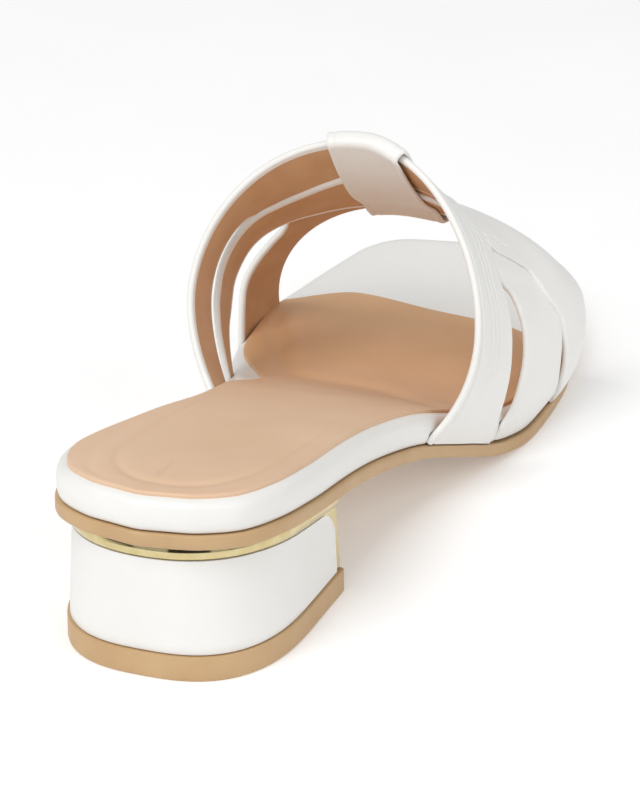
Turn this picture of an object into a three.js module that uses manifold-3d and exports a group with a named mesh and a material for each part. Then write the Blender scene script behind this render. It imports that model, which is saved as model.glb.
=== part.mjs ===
// Block-heeled strap mule for the right foot, European size 38.
// Millimetres. +Y points to the toe, +X to the outer side of the foot, +Z up.
// The origin is on the floor, under the middle of the heel.

import * as THREE from "three";
import { mergeVertices } from "three/addons/utils/BufferGeometryUtils.js";
import Module from "manifold-3d";

const wasm = await Module();
wasm.setup();

// Driving sizes
const LENGTH = 246; // footbed, back of the heel to the toe edge
const HALF_BALL = 43; // half the width across the ball
const HEEL_RISE = 34.5; // floor to the underside of the outsole at the back
const INSTEP_RISE = 83; // floor to the top of the rear strap
const HEEL_CENTRE = 30; // back of the footbed to the middle of the heel
const GAP = 0.3; // clearance between curved pieces

// Sole layers
const OUTSOLE_THICK = 3.6;
const FOOTBED_WALL = 6.2; // upright side of the wrapped footbed
const FOOTBED_ROUND = 2.0; // rise of its rounded upper edge
const SOCK_THICK = 1.1;
const SOCK_INSET = 3.0;

// Heel
const LIFT_THICK = 6.2;
const HEEL_FRONT = 57.5; // back of the footbed to the front of the heel
const TRIM_BAND = 3.2; // gold band under the outsole
const TRIM_PLATE = 2.6; // gold plate on the front of the heel

// Straps
const STRAP_WALL = 1.8;
const MIDDLE_WALL = 1.6;
const MIDDLE_DEPTH = 1.0; // how far the middle strap lies under the other two
const TAB_WALL = 1.5;
const TAB_WIDTH = 21;
const INSTEP_X = 4; // the ridge of the instep lies a little to the outer side

// Levels above the outsole's underside
const BED_FOOT = OUTSOLE_THICK + GAP;
const BED_SHOULDER = BED_FOOT + FOOTBED_WALL;
const BED_TOP = BED_SHOULDER + FOOTBED_ROUND;

// Footbed from its foot up: inset from the outline, and rise above the outsole's underside
const FOOTBED_LEVELS = [
  { inset: 0.9, rise: BED_FOOT },
  { inset: 0.4, rise: BED_FOOT + FOOTBED_WALL / 2 },
  { inset: 0.6, rise: BED_SHOULDER - 0.4 },
  { inset: 1.2, rise: BED_SHOULDER + 0.8 },
  { inset: 2.3, rise: BED_TOP - 0.3 },
  { inset: 4, rise: BED_TOP },
];

// Small edges and insets
const OUTSOLE_BEVEL = 0.7;
const COVER_INSET = 0.6; // heel's cover behind the edge of its lift
const TRIM_INSET = 0.3;

// Steps that the curves are divided into
const OUTLINE_STATIONS = 64;
const AROUND_STEPS = 50;
const SHEET_STEPS = 10;
const NARROW_STEPS = 4;
const SLOT_STEPS = 16;
const HEEL_LEVELS = 5;
const HEEL_ARC_STEPS = 14;
const HEEL_ARC_START = 0.03; // leaves a narrow flat at the very back
const HEEL_CORNER_STEPS = 4;
const TAB_STEPS = 12;
const TAB_TURNS = 6;
const TAB_ACROSS = 8;

// Outline of the footbed seen from above.
// at is a share of LENGTH, inner and outer are shares of HALF_BALL.
const OUTLINE = [
  { at: -0.002, inner: 0.02, outer: 0.03 },
  { at: 0.002, inner: 0.13, outer: 0.14 },
  { at: 0.012, inner: 0.34, outer: 0.34 },
  { at: 0.04, inner: 0.55, outer: 0.54 },
  { at: 0.09, inner: 0.66, outer: 0.65 },
  { at: 0.155, inner: 0.66, outer: 0.68 },
  { at: 0.245, inner: 0.59, outer: 0.68 },
  { at: 0.345, inner: 0.525, outer: 0.69 },
  { at: 0.445, inner: 0.58, outer: 0.76 },
  { at: 0.545, inner: 0.77, outer: 0.89 },
  { at: 0.627, inner: 0.94, outer: 0.98 },
  { at: 0.695, inner: 1.01, outer: 0.99 },
  { at: 0.77, inner: 1.03, outer: 0.96 },
  { at: 0.84, inner: 0.95, outer: 0.88 },
  { at: 0.905, inner: 0.86, outer: 0.74 },
  { at: 0.955, inner: 0.76, outer: 0.57 },
  { at: 0.985, inner: 0.58, outer: 0.34 },
  { at: 0.996, inner: 0.31, outer: 0.09 },
  { at: 1.0, inner: 0.16, outer: -0.1 },
];

// Side view of the outsole's underside: rise is a share of HEEL_RISE.
const PROFILE = [
  { at: 0, rise: 1 },
  { at: 0.08, rise: 0.95 },
  { at: 0.18, rise: 0.835 },
  { at: 0.265, rise: 0.73 },
  { at: 0.345, rise: 0.6 },
  { at: 0.425, rise: 0.45 },
  { at: 0.505, rise: 0.24 },
  { at: 0.585, rise: 0.045 },
  { at: 0.64, rise: 0 },
  { at: 0.78, rise: 0 },
  { at: 0.83, rise: 0.02 },
  { at: 0.91, rise: 0.055 },
  { at: 1, rise: 0.12 },
];

// Sections of the last over the instep, each leaning from its two feet on the outsole to its top.
// along runs from the rear edge of the straps (0) to the front edge (1).
// Feet and top are shares of LENGTH, widths of HALF_BALL and rises of INSTEP_RISE. Round is the
// section's fullness above its widest place, curl how it draws in below it, tuck in millimetres.
const SECTIONS = [
  { along: 0, innerFoot: 0.411, outerFoot: 0.434, topAt: 0.567, topRise: 1.01,
    innerWide: 0.847, innerRise: 0.584, outerWide: 0.95, outerRise: 0.487,
    innerCurl: 1.85, outerCurl: 2.17, innerRound: 2.03, outerRound: 1.74, tuck: 1.8 },
  { along: 0.25, innerFoot: 0.491, outerFoot: 0.508, topAt: 0.596, topRise: 0.9,
    innerWide: 0.882, innerRise: 0.508, outerWide: 1.015, outerRise: 0.43,
    innerCurl: 1.7, outerCurl: 2.2, innerRound: 1.94, outerRound: 1.9, tuck: 1.1 },
  { along: 0.5, innerFoot: 0.586, outerFoot: 0.6, topAt: 0.63, topRise: 0.8,
    innerWide: 0.919, innerRise: 0.41, outerWide: 1.105, outerRise: 0.377,
    innerCurl: 1.84, outerCurl: 2.3, innerRound: 1.85, outerRound: 2.09, tuck: 0.5 },
  { along: 0.75, innerFoot: 0.69, outerFoot: 0.705, topAt: 0.665, topRise: 0.733,
    innerWide: 0.988, innerRise: 0.277, outerWide: 1.184, outerRise: 0.346,
    innerCurl: 2, outerCurl: 2.4, innerRound: 1.82, outerRound: 2.23, tuck: 0 },
  { along: 1, innerFoot: 0.796, outerFoot: 0.812, topAt: 0.689, topRise: 0.673,
    innerWide: 0.99, innerRise: 0.1, outerWide: 1.096, outerRise: 0.367,
    innerCurl: 2, outerCurl: 2.25, innerRound: 1.87, outerRound: 1.93, tuck: 0 },
];
const FOOT_SPAN = 98; // rear edge to front edge of the straps along the outsole
const ALONG_MILLIMETRE = 1 / 42; // along for a millimetre over the top of the instep
const FOOT_TRIM = 4; // how far the cutter that trims the straps' feet reaches past the outsole
const FOOT_REACH = 0.03; // around that the straps' feet run on before they are trimmed
const SEAT_REACH = 0.1; // the same for the cut that seats them in the footbed
const SEAT_OUTWARDS = 4; // how far that cut reaches outwards
const SLOT_REACH = 5; // how far a slot's cutter stands out of the wall on both faces
const WIDEST = 0.62; // share of the way round, from the top to a foot, where a section is widest

// Edges of the straps: around is 0 at the top, -1 at the inner foot and 1 at the outer foot,
// and each edge is given by its along. Between rearFront and frontRear the outer layer is open.
const INNER_SLOT = [
  { around: -1.1, rearFront: 0.25, frontRear: 0.73 },
  { around: -1, rearFront: 0.24, frontRear: 0.73 },
  { around: -0.85, rearFront: 0.2, frontRear: 0.733 },
  { around: -0.77, rearFront: 0.204, frontRear: 0.736 },
  { around: -0.7, rearFront: 0.213, frontRear: 0.741 },
  { around: -0.6, rearFront: 0.233, frontRear: 0.755 },
  { around: -0.52, rearFront: 0.25, frontRear: 0.77 },
  { around: -0.45, rearFront: 0.27, frontRear: 0.792 },
  { around: -0.4, rearFront: 0.305, frontRear: 0.8 },
  { around: -0.36, rearFront: 0.37, frontRear: 0.795 },
  { around: -0.33, rearFront: 0.44, frontRear: 0.76 },
  { around: -0.305, rearFront: 0.51, frontRear: 0.68 },
];
const OUTER_SLOT = [
  { around: 0.37, rearFront: 0.28, frontRear: 0.32 },
  { around: 0.385, rearFront: 0.272, frontRear: 0.395 },
  { around: 0.4, rearFront: 0.265, frontRear: 0.455 },
  { around: 0.42, rearFront: 0.255, frontRear: 0.505 },
  { around: 0.45, rearFront: 0.248, frontRear: 0.526 },
  { around: 0.5, rearFront: 0.262, frontRear: 0.555 },
  { around: 0.59, rearFront: 0.28, frontRear: 0.628 },
  { around: 0.7, rearFront: 0.3, frontRear: 0.657 },
  { around: 0.85, rearFront: 0.325, frontRear: 0.68 },
  { around: 1, rearFront: 0.375, frontRear: 0.745 },
  { around: 1.1, rearFront: 0.4, frontRear: 0.78 },
];
const MIDDLE_STRAP = [
  { around: -1.1, rear: 0.3, front: 0.43 },
  { around: -1, rear: 0.3, front: 0.43 },
  { around: -0.87, rear: 0.31, front: 0.432 },
  { around: -0.78, rear: 0.298, front: 0.447 },
  { around: -0.7, rear: 0.3, front: 0.487 },
  { around: -0.61, rear: 0.318, front: 0.518 },
  { around: -0.52, rear: 0.316, front: 0.548 },
  { around: -0.45, rear: 0.315, front: 0.558 },
  { around: -0.4, rear: 0.32, front: 0.58 },
  { around: -0.35, rear: 0.34, front: 0.63 },
  { around: -0.3, rear: 0.37, front: 0.7 },
  { around: -0.23, rear: 0.383, front: 0.8 },
  { around: -0.13, rear: 0.35, front: 0.885 },
  { around: 0, rear: 0.31, front: 0.92 },
  { around: 0.3, rear: 0.25, front: 0.86 },
  { around: 0.4, rear: 0.235, front: 0.72 },
  { around: 0.44, rear: 0.26, front: 0.64 },
  { around: 0.48, rear: 0.335, front: 0.62 },
  { around: 0.53, rear: 0.366, front: 0.625 },
  { around: 0.6, rear: 0.395, front: 0.645 },
  { around: 0.68, rear: 0.41, front: 0.645 },
  { around: 0.78, rear: 0.415, front: 0.655 },
  { around: 0.87, rear: 0.42, front: 0.685 },
  { around: 1, rear: 0.405, front: 0.76 },
  { around: 1.1, rear: 0.4, front: 0.79 },
];

// Smooth curve through the rows of a table. Its slope at a row is the mean of the slopes on
// both sides, or with tight their harmonic mean, which never overshoots a row.
function through(rows, key, value, tight = true) {
  const x = rows.map((row) => row[key]);
  const y = rows.map((row) => row[value]);
  const last = x.length - 1;
  const slope = [];
  for (let i = 0; i < last; i += 1) {
    slope.push((y[i + 1] - y[i]) / (x[i + 1] - x[i]));
  }
  const tangent = slope.map((s, i) => {
    if (i === 0) {
      return s;
    }
    if (!tight) {
      return (s + slope[i - 1]) / 2;
    }
    return s * slope[i - 1] <= 0 ? 0 : (2 * s * slope[i - 1]) / (s + slope[i - 1]);
  });
  tangent.push(slope[last - 1]);
  return (at) => {
    const t = Math.min(Math.max(at, x[0]), x[last]);
    let i = 0;
    while (i < last - 1 && t > x[i + 1]) {
      i += 1;
    }
    const h = x[i + 1] - x[i];
    const u = (t - x[i]) / h;
    const a = (1 + 2 * u) * (1 - u) * (1 - u);
    const b = u * (1 - u) * (1 - u);
    const c = u * u * (3 - 2 * u);
    const d = u * u * (u - 1);
    return a * y[i] + b * h * tangent[i] + c * y[i + 1] + d * h * tangent[i + 1];
  };
}

// Closed solids from rings of points
function toSolid(points, faces) {
  const geometry = new THREE.BufferGeometry();
  geometry.setAttribute("position", new THREE.Float32BufferAttribute(points.flat(), 3));
  geometry.setIndex(faces.flat());
  const merged = mergeVertices(geometry, 1e-4);
  const mesh = new wasm.Mesh({
    numProp: 3,
    vertProperties: new Float32Array(merged.attributes.position.array),
    triVerts: new Uint32Array(merged.index.array),
  });
  return new wasm.Manifold(mesh);
}

function toGeometry(solid) {
  const mesh = solid.getMesh();
  const geometry = new THREE.BufferGeometry();
  geometry.setAttribute("position", new THREE.BufferAttribute(mesh.vertProperties, 3));
  geometry.setIndex(new THREE.BufferAttribute(mesh.triVerts, 1));
  geometry.computeVertexNormals();
  return geometry;
}

// A stack of levels from the bottom up. Each level is a list of stations from heel to toe with
// one point on the outer side and one on the inner side, and the ends are closed station by station.
function stackSolid(levels) {
  const points = [];
  const faces = [];
  const count = levels[0].length;
  const ring = 2 * count;
  for (const level of levels) {
    level.forEach((station) => points.push(station.outer));
    [...level].reverse().forEach((station) => points.push(station.inner));
  }
  for (let k = 0; k < levels.length - 1; k += 1) {
    for (let i = 0; i < ring; i += 1) {
      const a = k * ring + i;
      const b = k * ring + ((i + 1) % ring);
      faces.push([a, b, b + ring], [a, b + ring, a + ring]);
    }
  }
  const top = (levels.length - 1) * ring;
  for (let i = 0; i < count - 1; i += 1) {
    const outer = i;
    const inner = ring - 1 - i;
    faces.push([outer, inner, inner - 1], [outer, inner - 1, outer + 1]);
    faces.push([top + outer, top + inner - 1, top + inner], [top + outer, top + outer + 1, top + inner - 1]);
  }
  return toSolid(points, faces);
}

// Sole outline and side view
const outlineRows = OUTLINE.map((row, index) => ({ ...row, index }));
const outlineAt = through(outlineRows, "index", "at", false);
const outlineInner = through(outlineRows, "index", "inner", false);
const outlineOuter = through(outlineRows, "index", "outer", false);
const profileRise = through(PROFILE, "at", "rise");

function undersideAt(y) {
  return HEEL_RISE * profileRise((y + HEEL_CENTRE) / LENGTH);
}

// Place in the outline's table for a y, found by halving
function outlineIndex(y) {
  let low = 0;
  let high = OUTLINE.length - 1;
  for (let i = 0; i < 24; i += 1) {
    const middle = (low + high) / 2;
    if (outlineAt(middle) * LENGTH - HEEL_CENTRE < y) {
      low = middle;
    } else {
      high = middle;
    }
  }
  return (low + high) / 2;
}

// The outline moved inwards, with each point at rise above the outsole's underside
function outlineLevel(inset, rise) {
  const stations = [];
  for (let i = 0; i <= OUTLINE_STATIONS; i += 1) {
    const index = (i / OUTLINE_STATIONS) * (OUTLINE.length - 1);
    const y = outlineAt(index) * LENGTH - HEEL_CENTRE;
    stations.push({
      outer: [outlineOuter(index) * HALF_BALL, y],
      inner: [-outlineInner(index) * HALF_BALL, y],
    });
  }
  return insetStations(stations, inset).map((station) => ({
    outer: [...station.outer, undersideAt(station.outer[1]) + rise],
    inner: [...station.inner, undersideAt(station.inner[1]) + rise],
  }));
}

function insetStations(stations, inset) {
  const count = stations.length;
  const loop = [...stations.map((s) => s.outer), ...[...stations].reverse().map((s) => s.inner)];
  const moved = loop.map((point, i) => {
    const before = loop[(i - 1 + loop.length) % loop.length];
    const after = loop[(i + 1) % loop.length];
    const dx = after[0] - before[0];
    const dy = after[1] - before[1];
    const size = Math.hypot(dx, dy);
    return [point[0] - (dy / size) * inset, point[1] + (dx / size) * inset];
  });
  return stations.map((_, i) => ({ outer: moved[i], inner: moved[2 * count - 1 - i] }));
}

// The last over the instep: a point for along (0 rear to 1 front) and around (-1 inner foot,
// 0 top, 1 outer foot), moved inwards by depth along the surface's normal
const SECTION_CURVES = Object.fromEntries(
  Object.keys(SECTIONS[0])
    .filter((name) => name !== "along")
    .map((name) => [name, through(SECTIONS, "along", name)])
);

function lastPoint(along, around) {
  const within = Math.min(Math.max(along, 0), 1);
  if (within !== along) {
    const step = 0.02;
    const edge = lastPoint(within, around);
    const inside = lastPoint(within === 0 ? step : 1 - step, around);
    return edge.clone().addScaledVector(edge.clone().sub(inside), Math.abs(along - within) / step);
  }
  const section = {};
  for (const [name, curve] of Object.entries(SECTION_CURVES)) {
    section[name] = curve(within);
  }
  const outerSide = around > 0;
  const footY = (outerSide ? section.outerFoot : section.innerFoot) * LENGTH - HEEL_CENTRE;
  const footX = outerSide
    ? outlineOuter(outlineIndex(footY)) * HALF_BALL
    : -outlineInner(outlineIndex(footY)) * HALF_BALL + section.tuck;
  const footZ = undersideAt(footY) + OUTSOLE_THICK + GAP;
  const wideX = (outerSide ? section.outerWide : -section.innerWide) * HALF_BALL;
  const wideZ = (outerSide ? section.outerRise : section.innerRise) * INSTEP_RISE;
  const round = outerSide ? section.outerRound : section.innerRound;
  const curl = outerSide ? section.outerCurl : section.innerCurl;
  const topY = section.topAt * LENGTH - HEEL_CENTRE;
  const topZ = section.topRise * INSTEP_RISE;
  const away = Math.abs(around);
  let x = 0;
  let z = 0;
  if (away <= WIDEST) {
    const angle = (away / WIDEST) * (Math.PI / 2);
    x = INSTEP_X + (wideX - INSTEP_X) * Math.sin(angle) ** (2 / round);
    z = wideZ + (topZ - wideZ) * Math.cos(angle) ** (2 / round);
  } else {
    const down = (away - WIDEST) / (1 - WIDEST);
    x = wideX + (footX - wideX) * down ** curl;
    z = wideZ + (footZ - wideZ) * down;
  }
  const y = footY + ((topY - footY) * (z - footZ)) / (topZ - footZ);
  return new THREE.Vector3(x, y, z);
}

function lastNormal(along, around) {
  const step = 0.01;
  const alongStep = lastPoint(along + step, around).sub(lastPoint(along - step, around));
  const aroundStep = lastPoint(along, around + step).sub(lastPoint(along, around - step));
  return alongStep.cross(aroundStep).normalize().negate();
}

function wallPoint(along, around, depth) {
  const point = lastPoint(along, around);
  return point.addScaledVector(lastNormal(along, around), -depth).toArray();
}

// A sheet of leather on the last: rear and front are its edges as functions of around
function strapSolid(arounds, rear, front, outerDepth, innerDepth, steps) {
  const points = [];
  const faces = [];
  const ring = 2 * (steps + 1);
  for (const around of arounds) {
    const from = rear(around);
    const to = front(around);
    for (let k = 0; k <= steps; k += 1) {
      points.push(wallPoint(from + ((to - from) * k) / steps, around, innerDepth));
    }
    for (let k = steps; k >= 0; k -= 1) {
      points.push(wallPoint(from + ((to - from) * k) / steps, around, outerDepth));
    }
  }
  for (let j = 0; j < arounds.length - 1; j += 1) {
    for (let i = 0; i < ring; i += 1) {
      const a = j * ring + i;
      const b = j * ring + ((i + 1) % ring);
      faces.push([a, b, b + ring], [a, b + ring, a + ring]);
    }
  }
  const end = (arounds.length - 1) * ring;
  for (let k = 0; k < steps; k += 1) {
    const back = k;
    const face = ring - 1 - k;
    faces.push([back, face, face - 1], [back, face - 1, back + 1]);
    faces.push([end + back, end + face - 1, end + face], [end + back, end + back + 1, end + face - 1]);
  }
  return toSolid(points, faces);
}

function spread(from, to, count) {
  return Array.from({ length: count + 1 }, (_, i) => from + ((to - from) * i) / count);
}

// Cutter for the opening between the rear and the front strap on one side
function slotSolid(rows, shrink) {
  const rear = through(rows, "around", "rearFront");
  const front = through(rows, "around", "frontRear");
  const arounds = spread(rows[0].around, rows[rows.length - 1].around, SLOT_STEPS);
  return strapSolid(arounds, (a) => rear(a) + shrink, (a) => front(a) - shrink,
    -SLOT_REACH, STRAP_WALL + SLOT_REACH, NARROW_STEPS);
}

// Upper: the outer sheet is slotted on both sides into rear and front straps, and the middle
// strap lies under it. For the cut that seats the straps in the footbed, grow widens them,
// outwards takes away what lies outside them and footReach runs them on below their feet.
function upperSolid(grow, outwards, footReach) {
  const edge = grow / FOOT_SPAN;
  const arounds = spread(-1 - footReach, 1 + footReach, AROUND_STEPS);
  const sheet = strapSolid(arounds, () => -edge, () => 1 + edge, -outwards, STRAP_WALL + grow, SHEET_STEPS);
  const middleRear = through(MIDDLE_STRAP, "around", "rear");
  const middleFront = through(MIDDLE_STRAP, "around", "front");
  const middle = strapSolid(arounds, (a) => middleRear(a) - edge, (a) => middleFront(a) + edge,
    MIDDLE_DEPTH - outwards, MIDDLE_DEPTH + MIDDLE_WALL + grow, NARROW_STEPS);
  return sheet.subtract(slotSolid(INNER_SLOT, edge)).subtract(slotSolid(OUTER_SLOT, edge)).add(middle);
}

// Heel sections: a half oval at the back, straight sides and a straight front
function heelStations(width, back, depth, power, front, corner) {
  const stations = [];
  for (const angle of spread(HEEL_ARC_START, Math.PI / 2, HEEL_ARC_STEPS)) {
    const x = (width / 2) * Math.sin(angle) ** (2 / power);
    const y = back + depth - depth * Math.cos(angle) ** (2 / power);
    stations.push({ x, y });
  }
  for (const angle of spread(0, Math.PI / 2, HEEL_CORNER_STEPS)) {
    stations.push({
      x: width / 2 - corner * (1 - Math.cos(angle)),
      y: front - corner * (1 - Math.sin(angle)),
    });
  }
  return stations.map(({ x, y }) => ({ outer: [x, y - HEEL_CENTRE], inner: [-x, y - HEEL_CENTRE] }));
}

// The heel at its lift and at the outsole: depth is the length of the half oval, power its fullness
const HEEL_FOOT = { width: 56, back: 2.7, depth: 36, power: 2.67, front: HEEL_FRONT, corner: 1 };
const HEEL_TOP = { width: 54.4, back: 1.9, depth: 32, power: 2.2, front: HEEL_FRONT - 1, corner: 6 };

function heelLevel(share, height, inset) {
  const size = {};
  for (const name of Object.keys(HEEL_FOOT)) {
    size[name] = HEEL_FOOT[name] + (HEEL_TOP[name] - HEEL_FOOT[name]) * share;
  }
  const stations = heelStations(size.width, size.back, size.depth, size.power, size.front, size.corner);
  return insetStations(stations, inset).map((station) => ({
    outer: [...station.outer, height(station.outer[1])],
    inner: [...station.inner, height(station.inner[1])],
  }));
}

// A block from straight in front of the heel back to the face of its front plate
function plateCutter(back) {
  const box = new THREE.BoxGeometry(2 * HALF_BALL, HALF_BALL, 2 * HALF_BALL);
  box.translate(0, back - HEEL_CENTRE + HALF_BALL / 2, HALF_BALL);
  box.deleteAttribute("normal");
  box.deleteAttribute("uv");
  const merged = mergeVertices(box, 1e-4);
  return toSolid(chunk(merged.attributes.position.array), chunk(merged.index.array));
}

function chunk(values) {
  const triple = (_, i) => [values[3 * i], values[3 * i + 1], values[3 * i + 2]];
  return Array.from({ length: values.length / 3 }, triple);
}

// Sub-parts
function topLift() {
  return stackSolid([
    heelLevel(0, () => 0, 0),
    heelLevel(0, () => LIFT_THICK, 0),
  ]);
}

// The heel under the outsole, ending below it by drop
function heelBody(drop) {
  const foot = LIFT_THICK + GAP;
  const levels = [];
  for (const share of spread(0, 1, HEEL_LEVELS)) {
    levels.push(heelLevel(share, (y) => foot + (undersideAt(y) - drop - foot) * share, COVER_INSET));
  }
  return stackSolid(levels);
}

function heelBlock() {
  return heelBody(GAP + TRIM_BAND + GAP).subtract(plateCutter(HEEL_FRONT - TRIM_PLATE - GAP));
}

function heelTrim() {
  const band = stackSolid([
    heelLevel(1, (y) => undersideAt(y) - GAP - TRIM_BAND, TRIM_INSET),
    heelLevel(1, (y) => undersideAt(y) - GAP, TRIM_INSET),
  ]);
  const plate = heelBody(GAP + TRIM_BAND / 3).intersect(plateCutter(HEEL_FRONT - TRIM_PLATE));
  return band.add(plate);
}

function outsole() {
  return stackSolid([
    outlineLevel(OUTSOLE_BEVEL, 0),
    outlineLevel(0, OUTSOLE_BEVEL),
    outlineLevel(0, OUTSOLE_THICK),
  ]);
}

// Straps as they stand: their feet run a little long and are trimmed just above the outsole
function upper() {
  const trim = stackSolid([outlineLevel(-FOOT_TRIM, -FOOT_TRIM), outlineLevel(-FOOT_TRIM, BED_FOOT)]);
  return upperSolid(0, 0, FOOT_REACH).subtract(trim);
}

function footbed(seat) {
  return stackSolid(FOOTBED_LEVELS.map(({ inset, rise }) => outlineLevel(inset, rise))).subtract(seat);
}

// The sock's front edge, and the place beside the arch where it leaves the footbed's edge bare
const SOCK_FRONT = [
  { x: -60, y: 178 },
  { x: -40, y: 194 },
  { x: -22, y: 204 },
  { x: 0, y: 200.5 },
  { x: 22, y: 197.5 },
  { x: 40, y: 186 },
  { x: 60, y: 170 },
];
const WAIST = { at: 132, half: 30, depth: 7 };

function sockLevel(inset, rise) {
  const frontY = through(SOCK_FRONT, "x", "y");
  const clip = ([x, y, z]) => {
    const limit = frontY(x) - HEEL_CENTRE - (inset - SOCK_INSET);
    return y > limit ? [x, limit, undersideAt(limit) + rise] : [x, y, z];
  };
  return outlineLevel(inset, rise).map(({ outer, inner: [x, y, z] }) => {
    const near = Math.max(0, 1 - Math.abs(y + HEEL_CENTRE - WAIST.at) / WAIST.half);
    const cut = WAIST.depth * near * near * (3 - 2 * near);
    return { outer: clip(outer), inner: clip([x + cut, y, z]) };
  });
}

function insoleSock(seat) {
  const foot = BED_TOP + GAP;
  return stackSolid([
    sockLevel(SOCK_INSET, foot),
    sockLevel(SOCK_INSET, foot + SOCK_THICK / 2),
    sockLevel(SOCK_INSET + SOCK_THICK / 2, foot + SOCK_THICK),
  ]).subtract(seat);
}

// Band round the straps over the instep: its section runs forwards outside them, turns at
// the front edge, comes back inside and turns again at the rear edge.
function centreTab() {
  const outside = -GAP;
  const inside = MIDDLE_DEPTH + MIDDLE_WALL + GAP;
  const middle = (outside + inside) / 2;
  const reach = (inside - outside) / 2;
  const path = [];
  for (const along of spread(0, 1, TAB_STEPS)) {
    path.push({ along, turn: 0 });
  }
  for (let i = 1; i < TAB_TURNS; i += 1) {
    path.push({ along: 1, turn: (Math.PI * i) / TAB_TURNS });
  }
  for (const along of spread(1, 0, TAB_STEPS)) {
    path.push({ along, turn: Math.PI });
  }
  for (let i = 1; i < TAB_TURNS; i += 1) {
    path.push({ along: 0, turn: Math.PI + (Math.PI * i) / TAB_TURNS });
  }
  const across = spread(-1, 1, TAB_ACROSS);
  const points = [];
  for (const { along, turn } of path) {
    for (const [grow, order] of [[0, across], [TAB_WALL, [...across].reverse()]]) {
      const radius = reach + grow;
      for (const side of order) {
        const push = Math.sin(turn) * radius * ALONG_MILLIMETRE;
        points.push(wallPoint(along + push, tabAround(side, along), middle - radius * Math.cos(turn)));
      }
    }
  }
  const ring = 2 * across.length;
  const faces = [];
  for (let j = 0; j < path.length; j += 1) {
    const next = (j + 1) % path.length;
    for (let i = 0; i < ring; i += 1) {
      const i2 = (i + 1) % ring;
      faces.push([j * ring + i, next * ring + i2, j * ring + i2]);
      faces.push([j * ring + i, next * ring + i, next * ring + i2]);
    }
  }
  return toSolid(points, faces);
}

// around for a place across the band, so that the band keeps its width along the instep
function tabAround(side, along) {
  const { innerWide, outerWide, innerRound, outerRound } = SECTION_CURVES;
  const reach = (TAB_WIDTH / 2) * Math.abs(side);
  const wide = side > 0 ? outerWide(along) * HALF_BALL - INSTEP_X : innerWide(along) * HALF_BALL + INSTEP_X;
  const round = side > 0 ? outerRound(along) : innerRound(along);
  const angle = Math.asin((reach / wide) ** (round / 2));
  return Math.sign(side) * WIDEST * (angle / (Math.PI / 2));
}

// Materials
const COLOURS = {
  white: { color: 0xf2f1ee, roughness: 0.5, metalness: 0 },
  nude: { color: 0xe0bc9c, roughness: 0.55, metalness: 0 },
  tan: { color: 0xc4a276, roughness: 0.6, metalness: 0 },
  gold: { color: 0xd8c46a, roughness: 0.15, metalness: 1 },
};

function place(group, name, solid, look) {
  const mesh = new THREE.Mesh(toGeometry(solid), new THREE.MeshStandardMaterial(COLOURS[look]));
  mesh.name = name;
  group.add(mesh);
}

const group = new THREE.Group();
const strapSeat = upperSolid(GAP, SEAT_OUTWARDS, SEAT_REACH);
place(group, "top_lift", topLift(), "tan");
place(group, "heel_block", heelBlock(), "white");
place(group, "heel_trim", heelTrim(), "gold");
place(group, "outsole", outsole(), "tan");
place(group, "footbed", footbed(strapSeat), "white");
place(group, "insole_sock", insoleSock(strapSeat), "nude");
place(group, "upper", upper(), "white");
place(group, "centre_tab", centreTab(), "white");

export default group;
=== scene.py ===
# Block-heeled strap mule for the right foot: white leather straps and footbed, a nude leather
# sock, a tan sole and a gold metal trim. +Y points to the toe, +X to the outer side, +Z up.
# Blender works in metres; sizes in this script are millimetres unless a name says otherwise.

import math

import bpy
import numpy as np
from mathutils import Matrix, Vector


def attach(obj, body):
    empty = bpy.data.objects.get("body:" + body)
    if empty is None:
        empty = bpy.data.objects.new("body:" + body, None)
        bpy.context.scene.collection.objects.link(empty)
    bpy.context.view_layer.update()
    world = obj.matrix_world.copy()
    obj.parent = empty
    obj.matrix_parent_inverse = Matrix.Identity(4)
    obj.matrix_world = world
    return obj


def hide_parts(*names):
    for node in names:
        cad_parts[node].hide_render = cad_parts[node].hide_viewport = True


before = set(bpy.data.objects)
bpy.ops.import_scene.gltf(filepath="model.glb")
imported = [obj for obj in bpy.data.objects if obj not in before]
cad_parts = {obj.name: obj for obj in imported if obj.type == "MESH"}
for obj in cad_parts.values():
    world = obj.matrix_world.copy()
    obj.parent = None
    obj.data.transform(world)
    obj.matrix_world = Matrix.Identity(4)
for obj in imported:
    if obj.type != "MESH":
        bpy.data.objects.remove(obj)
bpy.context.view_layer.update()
MM = 0.001


# Heel lift
# Moulded polyurethane rubber, nailed under the heel and trimmed flush with it. It is matt and
# tan, with a small worn round along the edge that meets the floor.

HEEL_CENTRE = 30  # from the back of the footbed to the middle of the heel
HEEL_FRONT = 59.8  # from the back of the footbed to the front of the heel
LIFT_THICK = 6.2
LIFT_EDGE = 0.7
HEEL_SIZES = ("width", "back", "depth", "power", "front", "corner")
HEEL_FOOT = (56, 2.7, 36, 2.67, HEEL_FRONT, 1)
HEEL_TOP = (54.4, 1.9, 32, 2.2, HEEL_FRONT - 0.8, 1.5)
HEEL_SPINE = (-2, 12)  # y of the line that the heel's flat faces close on


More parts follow.
